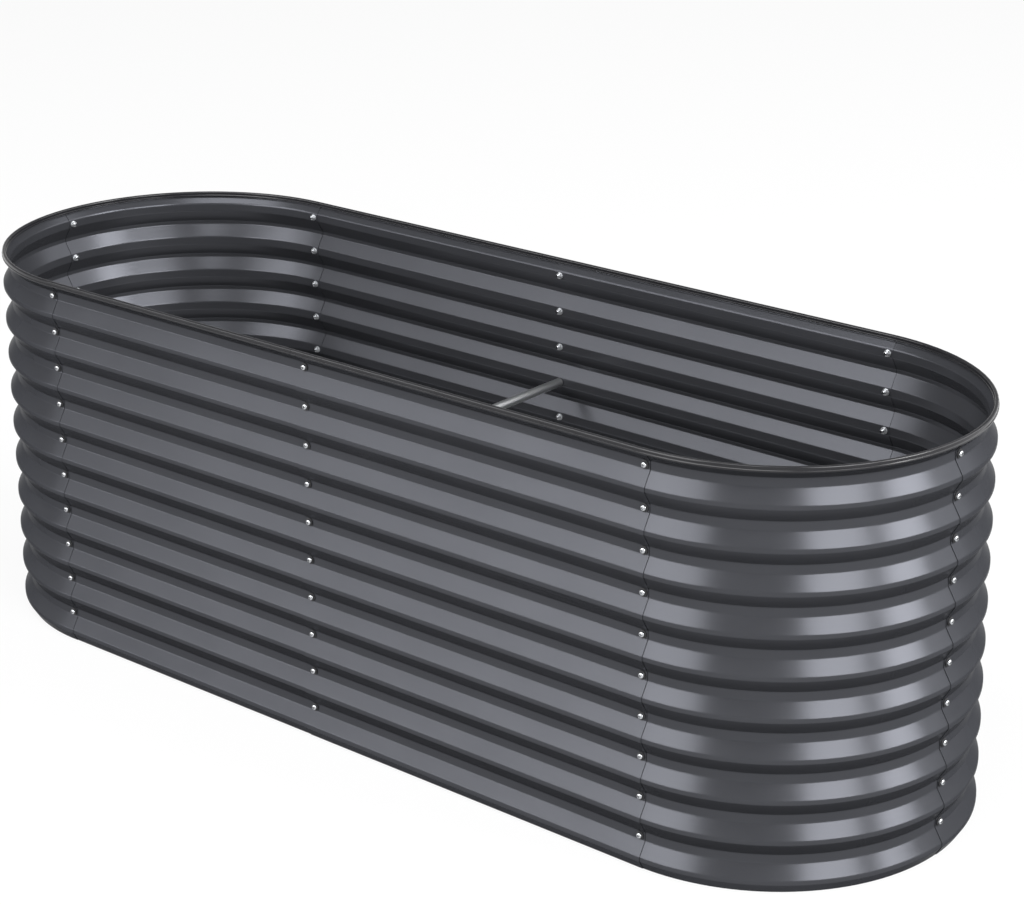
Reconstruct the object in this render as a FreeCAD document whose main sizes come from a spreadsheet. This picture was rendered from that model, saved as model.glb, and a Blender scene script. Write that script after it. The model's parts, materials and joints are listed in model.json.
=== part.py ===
import FreeCAD, Part
import math
import os

import Sketcher
from FreeCAD import Placement, Rotation, Vector

# An oval raised garden bed: eight corrugated sheet panels, lapped and bolted into a ring that is
# open at the top and at the bottom. X runs along the bed, Y across it and Z up, in millimetres.
# The origin lies on the ground in the middle of the bed.

SIZES = (
    ("rib_pitch", 60.0, "height of one groove and one rib together"),
    ("bolt_rows", 10, "grooves with a bolt, one above the other"),
    ("top_row_below_rim", 26.0, "from the top of the edge trim down to the first row of bolts"),
    ("bottom_row_height", 47.5, "from the ground up to the last row of bolts"),
    ("wall_radius", 292.0, "end centre to the bottom of the grooves, on the outer face of an outer panel"),
    ("straight_length", 1160.0, "between the centres of the two rounded ends"),
    ("middle_seam_shift", 33.0, "how far the middle seams lie to the left of the middle"),
    ("sheet_gauge", 0.6, "thickness of the coated sheet"),
    ("layer_step", 0.8, "from the face of an outer panel to the same face of an inner one, square to it"),
    ("valley_flat", 12.5, "flat bottom of a groove, between the sharp corners"),
    ("slope_rise", 20.5, "height of the slope between a groove and a rib"),
    ("rib_depth", 12.5, "how far a rib stands out from the grooves"),
    ("bend_radius", 4.0, "inner radius of the bends of an outer panel"),
    ("lip_offset", 9.0, "how far the upright lip at the top stands out from the grooves"),
    ("lip_height", 7.5, "height of that lip, up to the edge of the sheet"),
    ("edge_margin", 8.0, "from the middle of a bolt hole to the side edge of its panel"),
    ("hole_diameter", 6.0, "bolt hole in the panels"),
    ("trim_height", 8.0, "edge trim, overall height"),
    ("trim_web", 2.0, "thickness of the trim above the edge of the sheet"),
    ("trim_width", 7.6, "edge trim, width over its two feet"),
    ("trim_waist", 0.9, "how much narrower each side of the trim is above its foot"),
    ("trim_foot", 2.0, "height of the foot of the trim"),
    ("trim_top_radius", 2.4, "rounding of the top of the trim"),
    ("trim_foot_radius", 0.7, "rounding of the foot of the trim"),
    ("trim_clearance", 0.3, "between the trim's slot and the lips, on each side"),
    ("trim_seat_gap", 0.2, "between the edge of the sheet and the trim above it"),
    ("trim_joint_gap", 0.6, "between the two ends of the trim"),
    ("trim_joint_shift", 17.0, "from the front middle seam to the joint of the trim, to the left"),
    ("shank_diameter", 5.0, "bolt shank"),
    ("shank_length", 11.0, "bolt shank, below the head"),
    ("shank_chamfer", 0.6, "chamfer at the end of the shank"),
    ("head_diameter", 9.2, "bolt head"),
    ("head_height", 3.6, "bolt head"),
    ("head_radius", 2.6, "rounding of the bolt head"),
    ("recess_length", 4.8, "cross recess in the head, tip to tip"),
    ("recess_width", 1.2, "width of a slot of the recess"),
    ("recess_depth", 1.8, "depth of the recess"),
    ("seal_diameter", 12.4, "sealing washer under the head"),
    ("seal_thickness", 1.3, "sealing washer under the head"),
    ("washer_diameter", 11.0, "flat washer inside the wall"),
    ("washer_thickness", 1.0, "flat washer inside the wall"),
    ("washer_bore", 5.4, "bore of both kinds of washer"),
    ("nut_across_flats", 8.0, "hexagon nut"),
    ("nut_height", 4.0, "hexagon nut"),
    ("nut_bore", 5.1, "bore of the nut and of the end plugs"),
    ("nut_chamfer", 0.5, "height of the chamfer on both faces of the nut"),
    ("outer_seat_gap", 0.3, "between a sealing washer and the wall, whose bends begin under its rim"),
    ("inner_seat_gap", 0.1, "between a flat washer and the wall, which is curved at the ends"),
    ("upper_brace_row", 4, "row of bolts, from the top, that holds the upper cross brace"),
    ("lower_brace_row", 8, "row of bolts, from the top, that holds the lower cross brace"),
    ("brace_diameter", 14.0, "cross brace tube, outside"),
    ("brace_wall", 1.5, "wall of the cross brace tube"),
    ("plug_length", 22.0, "tapped plug in each end of a cross brace"),
    ("plug_clearance", 0.05, "between a plug and its tube, all round"),
    ("brace_end_gap", 0.05, "between the end of a cross brace and its flat washer"),
)

doc = FreeCAD.newDocument("raised_garden_bed")
sheet = doc.addObject("Spreadsheet::Sheet", "Sizes")
for line, (word, number, meaning) in enumerate(SIZES, start=1):
    sheet.set(f"A{line}", word)
    sheet.set(f"B{line}", str(number))
    sheet.setAlias(f"B{line}", word)
    sheet.set(f"C{line}", meaning)
doc.recompute()


def size(word):
    """The name of a size, as the expressions write it."""
    return f"Sizes.{word}"


def value(expression):
    """What an expression comes to, as a plain number."""
    return float(sheet.evalExpression(str(expression)))


# Sizes that follow from the ones above, as expressions.
ROWS = int(value(size("bolt_rows")))
PITCH = size("rib_pitch")
GAUGE = size("sheet_gauge")
DEPTH = size("rib_depth")
RISE = size("slope_rise")
LIP_OFFSET = size("lip_offset")
HALF_VALLEY = f"({size('valley_flat')} / 2)"
MARGIN = size("edge_margin")
BOTTOM_ROW = size("bottom_row_height")
TOP_ROW = f"({BOTTOM_ROW} + ({size('bolt_rows')} - 1) * {PITCH})"
RIBS_BELOW = f"ceil({BOTTOM_ROW} / {PITCH})"
FIRST_VALLEY = f"({BOTTOM_ROW} - {RIBS_BELOW} * {PITCH})"
RIM_HEIGHT = f"({TOP_ROW} + {size('top_row_below_rim')})"
SHEET_TOP = f"({RIM_HEIGHT} - {size('trim_web')} - {size('trim_seat_gap')})"
LIP_BOTTOM = f"({SHEET_TOP} - {size('lip_height')})"
END_CENTRE = f"({size('straight_length')} / 2)"
MIDDLE_SEAM = size("middle_seam_shift")
WALL = size("wall_radius")
OUTER_LAYER = "0"
INNER_LAYER = size("layer_step")
INNER_FACE = f"({WALL} - {INNER_LAYER} - {GAUGE})"
SEAL_FACE = f"({WALL} + {size('outer_seat_gap')})"
HEAD_FACE = f"({SEAL_FACE} + {size('seal_thickness')})"
WASHER_FACE = f"({INNER_FACE} - {size('inner_seat_gap')})"
NUT_FACE = f"({WASHER_FACE} - {size('washer_thickness')})"
BRACE_END = f"({NUT_FACE} - {size('brace_end_gap')})"
LIPS_THICKNESS = f"({INNER_LAYER} + {GAUGE})"
TRIM_RADIUS = f"({WALL} + {LIP_OFFSET} - {LIPS_THICKNESS} / 2)"
TRIM_JOINT = f"({MIDDLE_SEAM} + {size('trim_joint_shift')})"
MARGIN_ANGLE = f"({MARGIN} / {WALL} * 180 / pi)"
FAR = f"({size('straight_length')} + {WALL})"

QUARTER = 90
EIGHTH = QUARTER / 2


def new_body(label, yaw=0, x="0", z="0"):
    """A body for one sub-part, turned about Z and moved along X and up by two expressions."""
    body = doc.addObject("PartDesign::Body", label)
    body.Label = label
    body.AllowCompound = True
    body.Placement = Placement(Vector(), Rotation(Vector(0, 0, 1), yaw))
    body.setExpression("Placement.Base.x", x)
    body.setExpression("Placement.Base.z", z)
    return body


def new_sketch(body, name, plane, offset="0", turn=0, lift="0"):
    """A sketch on one of the body's own planes, turned about its upright axis and moved out or up."""
    sketch = body.newObject("Sketcher::SketchObject", name)
    support = next(f for f in body.Origin.OriginFeatures if f.Role == plane)
    sketch.AttachmentSupport = [(support, "")]
    sketch.MapMode = "FlatFace"
    sketch.AttachmentOffset = Placement(Vector(), Rotation(Vector(0, 1, 0), turn))
    sketch.setExpression("AttachmentOffset.Base.z", offset)
    sketch.setExpression("AttachmentOffset.Base.y", lift)
    return sketch


def pin_point(sketch, geometry, end, x, y):
    """Ties one point of a sketch to two expressions."""
    for kind, expression in (("DistanceX", x), ("DistanceY", y)):
        number = sketch.addConstraint(
            Sketcher.Constraint(kind, -1, 1, geometry, end, value(expression)))
        sketch.setExpression(f"Constraints[{number}]", expression)


def set_size(sketch, kind, geometry, expression):
    """Ties the radius or the diameter of an arc or a circle to an expression."""
    number = sketch.addConstraint(Sketcher.Constraint(kind, geometry, value(expression)))
    sketch.setExpression(f"Constraints[{number}]", expression)


def rounded_corner(before, corner, after, radius):
    """The arc that rounds the corner between two points, and where it leaves the two lines.

    The last value says whether the arc, which is drawn anticlockwise, runs from the first line
    to the second.
    """
    back = (before - corner).normalize()
    ahead = (after - corner).normalize()
    half = back.getAngle(ahead) / 2
    leave = corner + back * (radius / math.tan(half))
    join = corner + ahead * (radius / math.tan(half))
    centre = corner + (back + ahead).normalize() * (radius / math.sin(half))
    forwards = back.cross(ahead).z < 0
    first, last = (leave, join) if forwards else (join, leave)
    start = math.atan2(first.y - centre.y, first.x - centre.x)
    finish = math.atan2(last.y - centre.y, last.x - centre.x)
    if finish < start:
        finish += 2 * math.pi
    arc = Part.ArcOfCircle(Part.Circle(centre, Vector(0, 0, 1), radius), start, finish)
    return arc, leave, join, forwards


def draw_outline(sketch, corners):
    """A closed outline of straight lines through corners (x, y) or (x, y, radius)."""
    count = len(corners)
    points = [Vector(value(corner[0]), value(corner[1]), 0) for corner in corners]
    leaving, joining, rounding = list(points), list(points), {}
    for i, corner in enumerate(corners):
        if len(corner) == 3:
            arc, leaving[i], joining[i], forwards = rounded_corner(
                points[i - 1], points[i], points[(i + 1) % count], value(corner[2]))
            rounding[i] = arc, forwards
    first = sketch.GeometryCount
    lines = [first + i for i in range(count)]
    for i in range(count):
        sketch.addGeometry(Part.LineSegment(joining[i], leaving[(i + 1) % count]), False)
    for i, corner in enumerate(corners):
        before, after = lines[i - 1], lines[i]
        if i not in rounding:
            sketch.addConstraint(Sketcher.Constraint("Coincident", before, 2, after, 1))
            pin_point(sketch, after, 1, corner[0], corner[1])
            continue
        arc, forwards = rounding[i]
        bend = sketch.addGeometry(arc, False)
        start, finish = (1, 2) if forwards else (2, 1)
        sketch.addConstraint(Sketcher.Constraint("Tangent", before, 2, bend, start))
        sketch.addConstraint(Sketcher.Constraint("Tangent", bend, finish, after, 1))
        set_size(sketch, "Radius", bend, corner[2])
        sharp = sketch.addGeometry(Part.Point(points[i]), True)
        pin_point(sketch, sharp, 1, corner[0], corner[1])
        sketch.addConstraint(Sketcher.Constraint("PointOnObject", sharp, 1, before))
        sketch.addConstraint(Sketcher.Constraint("PointOnObject", sharp, 1, after))


def draw_circle(sketch, x, y, diameter):
    circle = Part.Circle(Vector(value(x), value(y), 0), Vector(0, 0, 1), value(diameter) / 2)
    number = sketch.addGeometry(circle, False)
    pin_point(sketch, number, 3, x, y)
    set_size(sketch, "Diameter", number, diameter)


def pad(body, name, sketch, length, midplane=False):
    feature = body.newObject("PartDesign::Pad", name)
    feature.Profile = sketch
    feature.Midplane = midplane
    feature.setExpression("Length", length)
    return feature


def revolve(body, name, sketch, axis, angle="360"):
    """The sketch turned about one of its own axes, half of the angle to each side of it."""
    feature = body.newObject("PartDesign::Revolution", name)
    feature.Profile = sketch
    feature.ReferenceAxis = (sketch, [axis])
    feature.Midplane = True
    feature.setExpression("Angle", angle)
    return feature


def cut_through(body, name, sketch, outwards):
    """Cuts the sketch through everything on one side of its plane."""
    feature = body.newObject("PartDesign::Pocket", name)
    feature.Profile = sketch
    feature.Type = "ThroughAll"
    feature.Reversed = outwards
    return feature


def repeat_up(body, name, originals, sketch, copies):
    """Copies of some features, one rib pitch apart, upwards from the first."""
    pattern = body.newObject("PartDesign::LinearPattern", name)
    pattern.Originals = originals
    pattern.Direction = (sketch, ["V_Axis"])
    pattern.setExpression("Length", f"({copies} - 1) * {PITCH}")
    pattern.setExpression("Occurrences", copies)
    body.Tip = pattern


# The panels. Each is drawn in a frame of its own, where -Y points out of the bed, and then turned
# about the middle of the bed, or about the centre of its rounded end. Neighbours lap over each
# other, so every second panel is an inner layer. It nests in the outer one: its faces run beside
# the outer panel's, round the same bends, a fixed depth further in.

def outwards(step, depth):
    """Where a sketch that looks along X shows a point at a step out from the wall, a depth below."""
    return f"-({WALL} + {step} - ({depth}))"


def corner_shift(depth, run, rise):
    """How far a corner beside a slope moves along the wall when its face lies a depth further in."""
    return f"({depth}) * tan(atan({run} / ({rise})) / 2)"


def groove_bend(depth):
    return f"{size('bend_radius')} + {depth}"


def rib_bend(depth):
    return f"{size('bend_radius')} + {GAUGE} - ({depth})"


def rib_face(depth):
    """One face of one rib, from the middle of one groove to the middle of the next."""
    shift = corner_shift(depth, DEPTH, RISE)
    foot = f"{FIRST_VALLEY} + {HALF_VALLEY} + {shift}"
    foot_end = f"{FIRST_VALLEY} + {PITCH} - {HALF_VALLEY} - {shift}"
    return [
        (outwards("0", depth), FIRST_VALLEY),
        (outwards("0", depth), foot, groove_bend(depth)),
        (outwards(DEPTH, depth), f"{foot} + {RISE}", rib_bend(depth)),
        (outwards(DEPTH, depth), f"{foot_end} - {RISE}", rib_bend(depth)),
        (outwards("0", depth), foot_end, groove_bend(depth)),
        (outwards("0", depth), f"{FIRST_VALLEY} + {PITCH}"),
    ]


def lip_face(depth):
    """One face of the sheet above the top row of bolts: it leans out and ends in an upright lip."""
    foot = f"{TOP_ROW} + {HALF_VALLEY}"
    shift = corner_shift(depth, LIP_OFFSET, f"{LIP_BOTTOM} - ({foot})")
    return [
        (outwards("0", depth), TOP_ROW),
        (outwards("0", depth), f"{foot} + {shift}", groove_bend(depth)),
        (outwards(LIP_OFFSET, depth), f"{LIP_BOTTOM} + {shift}", rib_bend(depth)),
        (outwards(LIP_OFFSET, depth), SHEET_TOP),
    ]


def sheet_outline(draw_face, layer):
    """The sheet of one layer, seen from the side: up its outer face and down its inner one."""
    return draw_face(layer) + draw_face(f"{layer} + {GAUGE}")[::-1]


def finish_panel(body, layer, start, sweep, hole_columns):
    """The ribs, the lip, the edge on the ground and the bolt holes of one panel."""
    rib = new_sketch(body, "rib_outline", "YZ_Plane", start)
    draw_outline(rib, sheet_outline(rib_face, layer))
    first_rib = sweep("first_rib", rib)
    repeat_up(body, "ribs", [first_rib], rib, f"({size('bolt_rows')} - 1 + {RIBS_BELOW})")
    lip = new_sketch(body, "lip_outline", "YZ_Plane", start)
    draw_outline(lip, sheet_outline(lip_face, layer))
    sweep("lip", lip)
    ground = new_sketch(body, "ground", "XY_Plane")
    draw_outline(ground, [(f"-{FAR}", f"-{FAR}"), (FAR, f"-{FAR}"), (FAR, FAR), (f"-{FAR}", FAR)])
    cut_through(body, "ground_cut", ground, outwards=False)
    holes = []
    for number, (x, turn) in enumerate(hole_columns, start=1):
        hole = new_sketch(body, f"hole_outline_{number}", "XZ_Plane", turn=turn)
        draw_circle(hole, x, BOTTOM_ROW, size("hole_diameter"))
        holes.append(cut_through(body, f"hole_{number}", hole, outwards=True))
    repeat_up(body, "holes", holes, hole, size("bolt_rows"))


def straight_panel(label, yaw, layer, left, right):
    """A side panel whose two columns of holes lie at the distances left and right."""
    body = new_body(label, yaw)
    start = f"({left} - {MARGIN})"

    def sweep(name, sketch):
        return pad(body, name, sketch, f"({right} + {MARGIN} - {start})")

    finish_panel(body, layer, start, sweep, [(left, 0), (right, 0)])


def rounded_panel(label, yaw, layer, centre):
    """A quarter of a circle, between two columns of holes, about the centre of a rounded end."""
    body = new_body(label, yaw, x=centre)

    def sweep(name, sketch):
        return revolve(body, name, sketch, "V_Axis", f"{QUARTER} + 2 * {MARGIN_ANGLE}")

    finish_panel(body, layer, "0", sweep, [("0", -EIGHTH), ("0", EIGHTH)])


LEFT_CENTRE = f"-{END_CENTRE}"
FRONT_MIDDLE = f"-{MIDDLE_SEAM}"

straight_panel("front_left_panel", 0, INNER_LAYER, LEFT_CENTRE, FRONT_MIDDLE)
straight_panel("front_right_panel", 0, OUTER_LAYER, FRONT_MIDDLE, END_CENTRE)
rounded_panel("right_front_end_panel", EIGHTH, INNER_LAYER, END_CENTRE)
rounded_panel("right_rear_end_panel", QUARTER + EIGHTH, OUTER_LAYER, END_CENTRE)
straight_panel("rear_right_panel", 2 * QUARTER, INNER_LAYER, LEFT_CENTRE, MIDDLE_SEAM)
straight_panel("rear_left_panel", 2 * QUARTER, OUTER_LAYER, MIDDLE_SEAM, END_CENTRE)
rounded_panel("left_rear_end_panel", 2 * QUARTER + EIGHTH, INNER_LAYER, LEFT_CENTRE)
rounded_panel("left_front_end_panel", -EIGHTH, OUTER_LAYER, LEFT_CENTRE)


# The edge trim: one flexible strip, pushed over the lips all the way round, with its two ends
# facing each other beside the front middle seam.

def trim_corners():
    half = f"{size('trim_width')} / 2"
    waist = f"({half} - {size('trim_waist')})"
    slot = f"({LIPS_THICKNESS} / 2 + {size('trim_clearance')})"
    bottom = f"({RIM_HEIGHT} - {size('trim_height')})"
    foot_top = f"({bottom} + {size('trim_foot')})"
    slot_top = f"({RIM_HEIGHT} - {size('trim_web')})"
    top_rounding, foot_rounding = size("trim_top_radius"), size("trim_foot_radius")
    right_half = [
        (slot, slot_top),
        (slot, bottom),
        (half, bottom, foot_rounding),
        (half, foot_top, foot_rounding),
        (waist, f"({foot_top} + {size('trim_waist')})"),
        (waist, RIM_HEIGHT, top_rounding),
    ]
    left_half = [(f"-({corner[0]})", *corner[1:]) for corner in reversed(right_half)]
    return [(f"{corner[0]} - {TRIM_RADIUS}", *corner[1:]) for corner in right_half + left_half]


def draw_trim_path(path):
    """An oval that is open at the joint, followed anticlockwise from the joint's right side."""
    right, left = value(END_CENTRE), value(LEFT_CENTRE)
    radius = value(TRIM_RADIUS)
    gap = f"{size('trim_joint_gap')} / 2"
    start, finish = f"-{TRIM_JOINT} + {gap}", f"-{TRIM_JOINT} - {gap}"
    up = Vector(0, 0, 1)
    half_turn = math.pi / 2
    path.addGeometry([
        Part.LineSegment(Vector(value(start), -radius, 0), Vector(right, -radius, 0)),
        Part.ArcOfCircle(Part.Circle(Vector(right, 0, 0), up, radius), -half_turn, half_turn),
        Part.LineSegment(Vector(right, radius, 0), Vector(left, radius, 0)),
        Part.ArcOfCircle(Part.Circle(Vector(left, 0, 0), up, radius), half_turn, 3 * half_turn),
        Part.LineSegment(Vector(left, -radius, 0), Vector(value(finish), -radius, 0)),
    ], False)
    for before, after in ((0, 1), (1, 2), (2, 3), (3, 4)):
        path.addConstraint(Sketcher.Constraint("Tangent", before, 2, after, 1))
    pin_point(path, 0, 1, start, f"-{TRIM_RADIUS}")
    pin_point(path, 1, 3, END_CENTRE, "0")
    pin_point(path, 3, 3, LEFT_CENTRE, "0")
    pin_point(path, 4, 2, finish, f"-{TRIM_RADIUS}")


trim = new_body("edge_trim")
trim_path = new_sketch(trim, "trim_path", "XY_Plane")
draw_trim_path(trim_path)
trim_section = new_sketch(trim, "trim_section", "YZ_Plane",
                          f"-{TRIM_JOINT} + {size('trim_joint_gap')} / 2")
draw_outline(trim_section, trim_corners())
trim_strip = trim.newObject("PartDesign::AdditivePipe", "trim_strip")
trim_strip.Profile = trim_section
trim_strip.Spine = trim_path


# The fasteners of one seam, with their axis along Y through the lowest row of bolts.

def turned_part(body, name, steps, lift="0"):
    """A round piece through corners (distance from the bed's middle line, radius)."""
    sketch = new_sketch(body, f"{name}_outline", "YZ_Plane", lift=lift)
    draw_outline(sketch, [(f"-({step[0]})", *step[1:]) for step in steps])
    return sketch, revolve(body, name, sketch, "H_Axis")


def ring_steps(start, thickness, bore, diameter):
    end = f"{start} + {thickness}"
    return [(start, f"{bore} / 2"), (start, f"{diameter} / 2"),
            (end, f"{diameter} / 2"), (end, f"{bore} / 2")]


def bolts(label, yaw, x):
    body = new_body(label, yaw, x, BOTTOM_ROW)
    tip = f"{HEAD_FACE} - {size('shank_length')}"
    shank = f"{size('shank_diameter')} / 2"
    top = f"{HEAD_FACE} + {size('head_height')}"
    chamfer = size("shank_chamfer")
    sketch, bolt = turned_part(body, "bolt", [
        (tip, "0"),
        (tip, f"{shank} - {chamfer}"),
        (f"{tip} + {chamfer}", shank),
        (HEAD_FACE, shank),
        (HEAD_FACE, f"{size('head_diameter')} / 2"),
        (top, f"{size('head_diameter')} / 2", size("head_radius")),
        (top, "0"),
    ])
    recess_sketch = new_sketch(body, "recess_outline", "XZ_Plane", top)
    reach, side = f"{size('recess_length')} / 2", f"{size('recess_width')} / 2"
    quarter_cross = [(reach, f"-{side}"), (reach, side), (side, side)]
    cross = []
    for _ in range(4):
        cross += quarter_cross
        quarter_cross = [(f"-({y})", x) for x, y in quarter_cross]
    draw_outline(recess_sketch, cross)
    recess = body.newObject("PartDesign::Pocket", "recess")
    recess.Profile = recess_sketch
    recess.setExpression("Length", size("recess_depth"))
    repeat_up(body, "bolt_rows", [bolt, recess], sketch, size("bolt_rows"))


def washers(label, yaw, x, start, thickness, diameter):
    body = new_body(label, yaw, x, BOTTOM_ROW)
    sketch, washer = turned_part(
        body, "washer", ring_steps(start, thickness, size("washer_bore"), diameter))
    repeat_up(body, "washer_rows", [washer], sketch, size("bolt_rows"))


def runs_of_rows(skipped_rows):
    """The first and the last row of each run of rows, from the top, that holds no skipped row."""
    rows = [row for row in range(1, ROWS + 1) if row not in skipped_rows]
    firsts = [row for row in rows if row - 1 not in rows]
    lasts = [row for row in rows if row + 1 not in rows]
    return zip(firsts, lasts)


def nuts(label, yaw, x, skipped_rows):
    """Hexagon nuts on every row but the skipped ones, in runs of rows that follow each other."""
    body = new_body(label, yaw, x, BOTTOM_ROW)
    flat, corner = f"{size('nut_across_flats')} / 2", f"{size('nut_across_flats')} / 2 / cos(30)"
    clear_of_corners = f"4 * {corner}"
    chamfer, bore = size("nut_chamfer"), f"{size('nut_bore')} / 2"
    start = f"({NUT_FACE} - {size('nut_height')})"
    blank_steps = [(start, bore), (start, flat), (f"{start} + {chamfer}", corner),
                   (f"{NUT_FACE} - {chamfer}", corner), (NUT_FACE, flat), (NUT_FACE, bore)]
    hexagon = [(f"{corner} * cos({angle})", f"{corner} * sin({angle})") for angle in range(0, 360, 60)]
    for first, last in runs_of_rows(skipped_rows):
        lift = f"({size('bolt_rows')} - {last}) * {PITCH}"
        sketch, blank = turned_part(body, f"nut_{first}", blank_steps, lift)
        flats_sketch = new_sketch(body, f"flats_outline_{first}", "XZ_Plane", lift=lift)
        draw_outline(flats_sketch, hexagon)
        draw_circle(flats_sketch, "0", "0", clear_of_corners)
        flats = cut_through(body, f"flats_{first}", flats_sketch, outwards=True)
        if last > first:
            repeat_up(body, f"nut_rows_{first}", [blank, flats], sketch, f"{last - first + 1}")


BRACE_ROWS = {place: int(value(size(f"{place}_brace_row"))) for place in ("upper", "lower")}

SEAMS = {
    "front_left": (0, LEFT_CENTRE),
    "front_middle": (0, FRONT_MIDDLE),
    "front_right": (0, END_CENTRE),
    "right_end": (QUARTER, END_CENTRE),
    "rear_right": (2 * QUARTER, END_CENTRE),
    "rear_middle": (2 * QUARTER, FRONT_MIDDLE),
    "rear_left": (2 * QUARTER, LEFT_CENTRE),
    "left_end": (-QUARTER, LEFT_CENTRE),
}

for seam, (yaw, x) in SEAMS.items():
    bolts(f"bolts_{seam}", yaw, x)
    washers(f"sealing_washers_{seam}", yaw, x, SEAL_FACE,
            size("seal_thickness"), size("seal_diameter"))
    washers(f"flat_washers_{seam}", yaw, x, NUT_FACE,
            size("washer_thickness"), size("washer_diameter"))
    nuts(f"nuts_{seam}", yaw, x, BRACE_ROWS.values() if "middle" in seam else ())


# The cross braces between the two middle seams: a tube with a tapped plug in each end, which
# the bolts of its row screw into.

def brace_tube(label, row):
    body = new_body(label, 0, FRONT_MIDDLE, f"{TOP_ROW} - ({row} - 1) * {PITCH}")
    section = new_sketch(body, "tube_section", "XZ_Plane")
    draw_circle(section, "0", "0", size("brace_diameter"))
    draw_circle(section, "0", "0", f"{size('brace_diameter')} - 2 * {size('brace_wall')}")
    pad(body, "tube", section, f"2 * {BRACE_END}", midplane=True)


def brace_plug(label, yaw, row):
    body = new_body(label, yaw, FRONT_MIDDLE, f"{TOP_ROW} - ({row} - 1) * {PITCH}")
    diameter = f"({size('brace_diameter')} - 2 * {size('brace_wall')} - 2 * {size('plug_clearance')})"
    start = f"{BRACE_END} - {size('plug_length')}"
    turned_part(body, "plug", ring_steps(start, size("plug_length"), size("nut_bore"), diameter))


for place in BRACE_ROWS:
    row = size(f"{place}_brace_row")
    brace_tube(f"{place}_cross_brace", row)
    brace_plug(f"{place}_brace_front_plug", 0, row)
    brace_plug(f"{place}_brace_rear_plug", 2 * QUARTER, row)


doc.recompute()
for item in doc.Objects:
    if "Invalid" in item.State or "Error" in item.State:
        raise RuntimeError(f"{item.Label} failed: {item.State}")
sub_parts = [item for item in doc.Objects if item.TypeId == "PartDesign::Body"]
for part in sub_parts:
    if part.Shape.isNull() or not part.Shape.isValid() or not part.Shape.Solids:
        raise RuntimeError(f"{part.Label} has no valid shape")
    if part.Label.endswith("panel") and len(part.Shape.Solids) != 1:
        raise RuntimeError(f"{part.Label} is in {len(part.Shape.Solids)} pieces")

strip_length = trim_path.Shape.Length
strip_section = Part.Face(trim_section.Shape.Wires[0]).Area
print(f"edge trim: volume {trim.Shape.Volume:.1f}, section times length {strip_length * strip_section:.1f}")

os.makedirs("parts", exist_ok=True)
for part in sub_parts:
    part.Shape.exportStep(f"parts/{part.Label}.step")
    print(f"{part.Label}: {len(part.Shape.Solids)} solids, {part.Shape.Volume:.1f} mm3")
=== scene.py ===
import json
import math

import bpy
from mathutils import Matrix, Vector


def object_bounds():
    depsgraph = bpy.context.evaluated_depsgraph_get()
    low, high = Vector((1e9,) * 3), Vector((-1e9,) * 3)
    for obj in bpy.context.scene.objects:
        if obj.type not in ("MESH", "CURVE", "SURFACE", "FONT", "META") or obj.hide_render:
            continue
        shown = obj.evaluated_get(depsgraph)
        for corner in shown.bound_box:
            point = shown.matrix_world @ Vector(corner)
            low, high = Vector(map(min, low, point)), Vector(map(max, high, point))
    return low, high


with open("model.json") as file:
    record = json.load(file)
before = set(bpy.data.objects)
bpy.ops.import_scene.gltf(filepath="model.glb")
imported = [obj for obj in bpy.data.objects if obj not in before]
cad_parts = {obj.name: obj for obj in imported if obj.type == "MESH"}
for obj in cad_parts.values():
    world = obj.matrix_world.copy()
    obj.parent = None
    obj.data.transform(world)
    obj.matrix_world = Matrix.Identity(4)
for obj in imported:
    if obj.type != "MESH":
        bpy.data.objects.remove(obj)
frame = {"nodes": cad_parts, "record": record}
cad_low, cad_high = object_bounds()

# A raised garden bed of bolted, corrugated panels, photographed on a white sweep. The row frame
# has X along the bed, Y across it and Z up, in metres, with the origin on the ground. The panels,
# fasteners, braces and edge trim are all nodes of the frame, and get their finishes here.


# The camera looks down from between the bed's front and its right end, as in the photograph.
# Angles are in degrees, the distance and the aim in metres, the lens and its sensor in
# millimetres, and the shift is a share of the picture's width.

CAMERA_AZIMUTH = 40.08
CAMERA_ELEVATION = 19.19
CAMERA_ROLL = -0.26
CAMERA_DISTANCE = 3.922
CAMERA_AIM = (0.0827, 0.0324, 0.5058)
CAMERA_LENS = 91.37
CAMERA_SHIFT_UP = -0.0708
SENSOR_WIDTH = 36.0


def compass(azimuth, elevation):
    """The unit vector towards a direction: azimuth 0 is the front of the bed, 90 its right end."""
    turn, rise = math.radians(azimuth), math.radians(elevation)
    return Vector((math.sin(turn) * math.cos(rise), -math.cos(turn) * math.cos(rise),
                   math.sin(rise)))


def add_camera():
    back = compass(CAMERA_AZIMUTH, CAMERA_ELEVATION)
    camera = bpy.data.objects.new("camera", bpy.data.cameras.new("camera"))
    camera.data.lens = CAMERA_LENS
    camera.data.sensor_width = SENSOR_WIDTH
    camera.data.shift_y = CAMERA_SHIFT_UP
    level = (-back).to_track_quat("-Z", "Y").to_matrix()
    roll = Matrix.Rotation(math.radians(CAMERA_ROLL), 3, "Z")
    camera.matrix_world = (Matrix.Translation(Vector(CAMERA_AIM) + back * CAMERA_DISTANCE)
                           @ (level @ roll).to_4x4())
    bpy.context.scene.collection.objects.link(camera)
    bpy.context.scene.camera = camera


add_camera()


# Shader maths. The colour sockets of a Mix node share their names with its number and vector
# sockets, so they go by their places.

MIX_COLOUR_A = 6
MIX_COLOUR_B = 7
MIX_COLOUR_RESULT = 2


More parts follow.
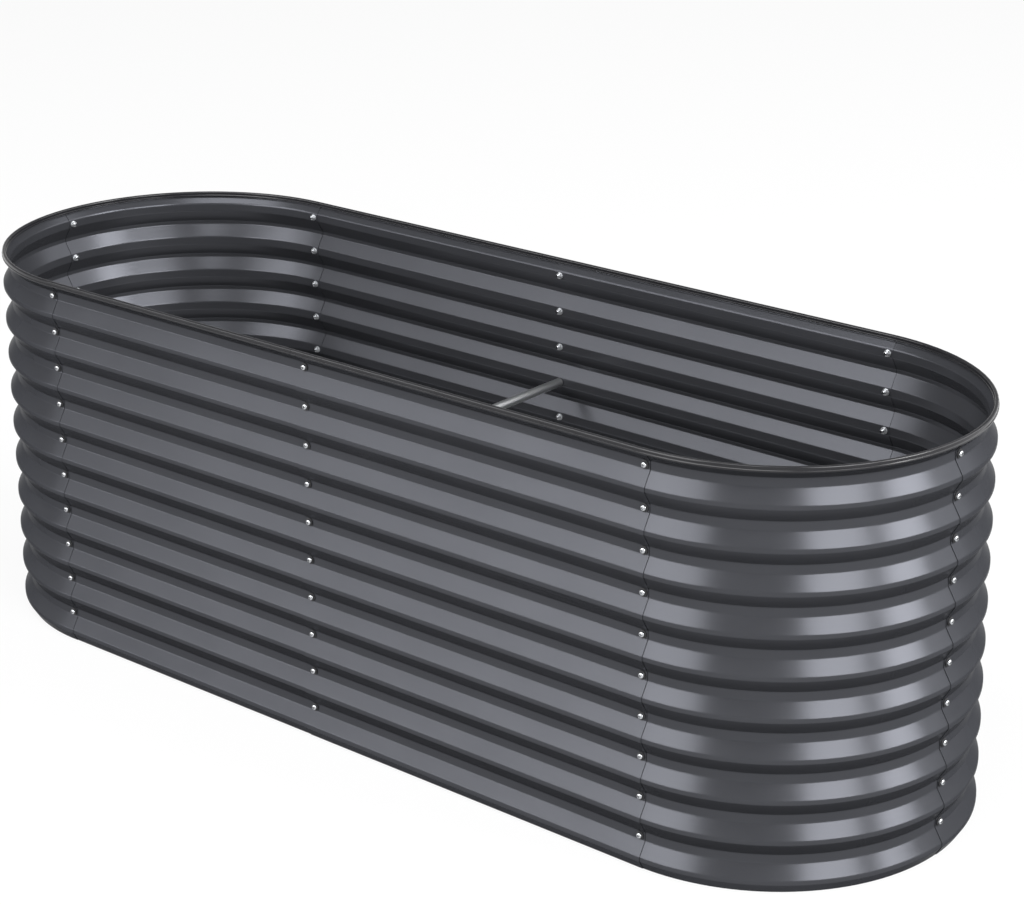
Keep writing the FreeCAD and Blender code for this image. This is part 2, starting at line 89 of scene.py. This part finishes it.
class Signal:
    """A node's output. Signals add and multiply with each other and with numbers."""

    def __init__(self, recipe, socket):
        self.recipe = recipe
        self.socket = socket

    def _math(self, operation, other):
        return self.recipe.node("ShaderNodeMath", {"operation": operation}, {0: self, 1: other})

    def __add__(self, other):
        return self._math("ADD", other)

    def __mul__(self, other):
        return self._math("MULTIPLY", other)

    __radd__ = __add__
    __rmul__ = __mul__

    def between(self, low, high):
        """From low to high as this Signal goes from 0 to 1."""
        return low + (high - low) * self


def grey(level):
    return (level, level, level, 1)


def set_stops(ramp, stops):
    """Moves the two stops that a new ramp has."""
    for element, (position, colour) in zip(ramp.elements, stops):
        element.position = position
        element.color = colour


class Recipe:
    """The nodes of one material or of the world."""

    def __init__(self, tree):
        tree.nodes.clear()
        self.tree = tree

    def node(self, kind, settings=None, inputs=None, output=0):
        """Adds a node: its settings first, then the values or Signals of its inputs."""
        node = self.tree.nodes.new(kind)
        for name, setting in (settings or {}).items():
            if name == "stops":
                set_stops(node.color_ramp, setting)
            else:
                setattr(node, name, setting)
        for name, given in (inputs or {}).items():
            if isinstance(given, Signal):
                self.tree.links.new(given.socket, node.inputs[name])
            else:
                node.inputs[name].default_value = given
        return Signal(self, node.outputs[output]) if node.outputs else None

    def blend(self, factor, first, second):
        """From the first colour to the second as the factor goes from 0 to 1."""
        return self.node("ShaderNodeMix", {"data_type": "RGBA"},
                         {"Factor": factor, MIX_COLOUR_A: first, MIX_COLOUR_B: second},
                         output=MIX_COLOUR_RESULT)

    def noise(self, scale, detail=2.0, roughness=0.5, stretch=(1, 1, 1)):
        """Noise from 0 to 1 in the row frame: its scale is in cells to a metre, and a stretch
        under 1 draws the cells out along that axis."""
        here = self.node("ShaderNodeTexCoord", output="Object")
        place = self.node("ShaderNodeVectorMath", {"operation": "MULTIPLY"}, {0: here, 1: stretch})
        return self.node("ShaderNodeTexNoise", None,
                         {"Vector": place, "Scale": scale, "Detail": detail,
                          "Roughness": roughness})

    def bump(self, height, distance, strength, normal=None):
        """A relief as deep as the distance, in metres, on the surface or on another relief."""
        inputs = {"Height": height, "Distance": distance, "Strength": strength}
        if normal is not None:
            inputs["Normal"] = normal
        return self.node("ShaderNodeBump", None, inputs)


def new_recipe(name):
    material = bpy.data.materials.new(name)
    material.use_nodes = True
    return material, Recipe(material.node_tree)


def finish_surface(recipe, inputs):
    shader = recipe.node("ShaderNodeBsdfPrincipled", None, inputs)
    recipe.node("ShaderNodeOutputMaterial", None, {"Surface": shader})


# The finishes. Each one wanders between two colours and between two roughnesses.

MM = 0.001

ANTHRACITE = (0.044, 0.0455, 0.051, 1), (0.054, 0.0555, 0.062, 1)
TRIM_BLACK = (0.008, 0.008, 0.009, 1), (0.014, 0.014, 0.016, 1)
SEAL_BLACK = (0.008, 0.008, 0.009, 1), (0.016, 0.016, 0.017, 1)
BRIGHT_ZINC = (0.52, 0.53, 0.54, 1), (0.42, 0.43, 0.45, 1)
DULL_ZINC = (0.62, 0.63, 0.65, 1), (0.48, 0.49, 0.50, 1)
TUBE_METAL = (0.50, 0.51, 0.52, 1), (0.62, 0.63, 0.64, 1)

ANTHRACITE_ROUGHNESS = (0.2, 0.28)
TRIM_ROUGHNESS = (0.14, 0.2)
SEAL_ROUGHNESS = (0.6, 0.75)
BRIGHT_ZINC_ROUGHNESS = (0.14, 0.24)
DULL_ZINC_ROUGHNESS = (0.32, 0.5)
TUBE_ROUGHNESS = (0.34, 0.46)


def coated_sheet():
    """Smooth anthracite coating on rolled steel: satin, with the faint lines of the rolling along
    the sheet, and the slight waves of thin metal."""
    material, recipe = new_recipe("anthracite_coated_sheet")
    mottle = recipe.noise(scale=7.0, detail=4.0, roughness=0.6, stretch=(1, 1, 3))
    grain = recipe.noise(scale=900.0, detail=1.0)
    rolled = recipe.noise(scale=260.0, detail=3.0, stretch=(0.02, 0.02, 1))
    waves = recipe.noise(scale=5.0, detail=1.0, stretch=(1, 1, 0.5))
    relief = recipe.bump(grain, distance=0.04 * MM, strength=0.5)
    relief = recipe.bump(rolled, distance=0.12 * MM, strength=0.4, normal=relief)
    finish_surface(recipe, {
        "Base Color": recipe.blend(mottle, *ANTHRACITE),
        "Roughness": mottle.between(*ANTHRACITE_ROUGHNESS),
        "Metallic": 0.55,
        "Specular IOR Level": 0.0,
        "Specular Tint": grey(0.4),
        "Normal": recipe.bump(waves, distance=3 * MM, strength=0.5, normal=relief),
    })
    return material


def trim_rubber():
    """Black, slightly shiny rubber with faint smudges."""
    material, recipe = new_recipe("black_edge_trim")
    smudge = recipe.noise(scale=30.0, detail=3.0)
    grain = recipe.noise(scale=400.0, detail=1.0)
    finish_surface(recipe, {
        "Base Color": recipe.blend(smudge, *TRIM_BLACK),
        "Roughness": smudge.between(*TRIM_ROUGHNESS),
        "Specular IOR Level": 0.3,
        "Normal": recipe.bump(grain, distance=0.01 * MM, strength=0.3),
    })
    return material


def seal_rubber():
    """Matte black rubber with a fine grain."""
    material, recipe = new_recipe("black_sealing_rubber")
    grain = recipe.noise(scale=2500.0)
    finish_surface(recipe, {
        "Base Color": recipe.blend(grain, *SEAL_BLACK),
        "Roughness": grain.between(*SEAL_ROUGHNESS),
        "Normal": recipe.bump(grain, distance=0.05 * MM, strength=0.5),
    })
    return material


def zinc(name, colours, roughnesses):
    """Zinc plating with the cloudy look of the bath."""
    material, recipe = new_recipe(name)
    cloud = recipe.noise(scale=220.0, detail=3.0)
    grain = recipe.noise(scale=3500.0)
    finish_surface(recipe, {
        "Base Color": recipe.blend(cloud, *colours),
        "Metallic": 1.0,
        "Roughness": cloud.between(*roughnesses),
        "Normal": recipe.bump(grain, distance=0.03 * MM, strength=0.4),
    })
    return material


def drawn_tube():
    """Plain drawn tube, with fine lines along it. The braces lie across the bed, along Y."""
    material, recipe = new_recipe("drawn_brace_tube")
    lines = recipe.noise(scale=900.0, stretch=(1, 0.01, 1))
    finish_surface(recipe, {
        "Base Color": recipe.blend(lines, *TUBE_METAL),
        "Metallic": 1.0,
        "Roughness": lines.between(*TUBE_ROUGHNESS),
        "Normal": recipe.bump(lines, distance=0.03 * MM, strength=0.5),
    })
    return material


def dress_nodes():
    """Puts each node's finish in its material slots, as the record names it."""
    finishes = {
        "coated_sheet": coated_sheet(),
        "trim_rubber": trim_rubber(),
        "seal_rubber": seal_rubber(),
        "bright_zinc": zinc("bright_zinc_plating", BRIGHT_ZINC, BRIGHT_ZINC_ROUGHNESS),
        "plain_zinc": zinc("dull_zinc_plating", DULL_ZINC, DULL_ZINC_ROUGHNESS),
        "brace_tube": drawn_tube(),
    }
    for part in frame["record"]["subparts"]:
        for slot in frame["nodes"][part["node"]].material_slots:
            slot.material = finishes[part["material_slot"]]


dress_nodes()


# The floor and the white sweep. The floor's grey lights the bed, and where it is seen it glows
# nearly white and keeps the bed's shadow. The sweep is white at the horizon and fades to a dim
# room; its heights are sines of the angle above the floor.

FLOOR_SIZE = 60.0
FLOOR_LEVEL = 0.3
PAPER_LEVEL = 0.55
PAPER_GLOW = 0.88
WHITE_LEVEL = 1.0
SWEEP_TOP = 0.1
ROOM_BOTTOM = 0.3
ROOM_LEVEL = 0.25


def seen_directly(recipe):
    """1 for what the camera, a reflection or a clear part shows, 0 for light that is passed on."""
    camera, glossy, through = (recipe.node("ShaderNodeLightPath", output=name) for name in
                               ("Is Camera Ray", "Is Glossy Ray", "Is Transmission Ray"))
    return recipe.node("ShaderNodeMath", {"operation": "ADD", "use_clamp": True},
                       {0: camera + glossy, 1: through})


def add_floor():
    material, recipe = new_recipe("pale_floor")
    lit = recipe.node("ShaderNodeBsdfDiffuse", None, {"Color": grey(FLOOR_LEVEL)})
    paper = recipe.node("ShaderNodeBsdfDiffuse", None, {"Color": grey(PAPER_LEVEL)})
    white = recipe.node("ShaderNodeEmission", None, {"Color": grey(WHITE_LEVEL), "Strength": 1.0})
    seen = recipe.node("ShaderNodeMixShader", None, {0: PAPER_GLOW, 1: paper, 2: white})
    surface = recipe.node("ShaderNodeMixShader", None, {0: seen_directly(recipe), 1: lit, 2: seen})
    recipe.node("ShaderNodeOutputMaterial", None, {"Surface": surface})
    half = FLOOR_SIZE / 2
    mesh = bpy.data.meshes.new("floor")
    mesh.from_pydata([(-half, -half, 0), (half, -half, 0), (half, half, 0), (-half, half, 0)],
                     [], [(0, 1, 2, 3)])
    mesh.materials.append(material)
    floor = bpy.data.objects.new("floor", mesh)
    bpy.context.scene.collection.objects.link(floor)


def add_world():
    """A white sweep round the horizon, and a dim studio above it."""
    world = bpy.data.worlds.new("studio")
    bpy.context.scene.world = world
    world.use_nodes = True
    recipe = Recipe(world.node_tree)
    direction = recipe.node("ShaderNodeTexCoord", output="Generated")
    height = recipe.node("ShaderNodeSeparateXYZ", None, {0: direction}, output="Z")
    light = recipe.node("ShaderNodeValToRGB",
                        {"stops": [(SWEEP_TOP, grey(WHITE_LEVEL)),
                                   (ROOM_BOTTOM, grey(ROOM_LEVEL))]},
                        {"Fac": height})
    room = recipe.node("ShaderNodeBackground", None, {"Color": light, "Strength": 1.0})
    recipe.node("ShaderNodeOutputWorld", None, {"Surface": room})


# The lamps: each one's name, the compass directions and the heights that it fills, both in
# degrees, and how brightly its face shines.

LAMP_DISTANCE = 9.0
LAMPS = (
    ("front_soft_box", (-52, -34), (18, 42), 4.0),
    ("front_bright_box", (-34, 2), (18, 42), 8.0),
    ("front_low_strip", (-52, 2), (5, 14), 8.0),
    ("right_soft_box", (58, 88), (15, 50), 11.0),
    ("far_right_soft_box", (97, 120), (15, 50), 15.0),
    ("rear_right_soft_box", (122, 165), (12, 50), 3.0),
    ("front_top_box", (-50, 40), (52, 78), 6.0),
)


def add_lamp(name, azimuths, elevations, brightness):
    """Adds a soft box that faces the middle of the bed."""
    azimuth, elevation = sum(azimuths) / 2, sum(elevations) / 2
    towards = compass(azimuth, elevation)
    lamp = bpy.data.objects.new(name, bpy.data.lights.new(name, "AREA"))
    width, height = (2 * LAMP_DISTANCE * math.tan(math.radians(last - first) / 2)
                     for first, last in (azimuths, elevations))
    width *= math.cos(math.radians(elevation))
    lamp.data.shape = "RECTANGLE"
    lamp.data.size, lamp.data.size_y = width, height
    lamp.data.energy = brightness * math.pi * width * height
    lamp.location = (cad_low + cad_high) / 2 + towards * LAMP_DISTANCE
    lamp.rotation_mode = "QUATERNION"
    lamp.rotation_quaternion = (-towards).to_track_quat("-Z", "Y")
    bpy.context.scene.collection.objects.link(lamp)


add_floor()
add_world()
for lamp in LAMPS:
    add_lamp(*lamp)
bpy.context.scene.view_settings.view_transform = "Standard"
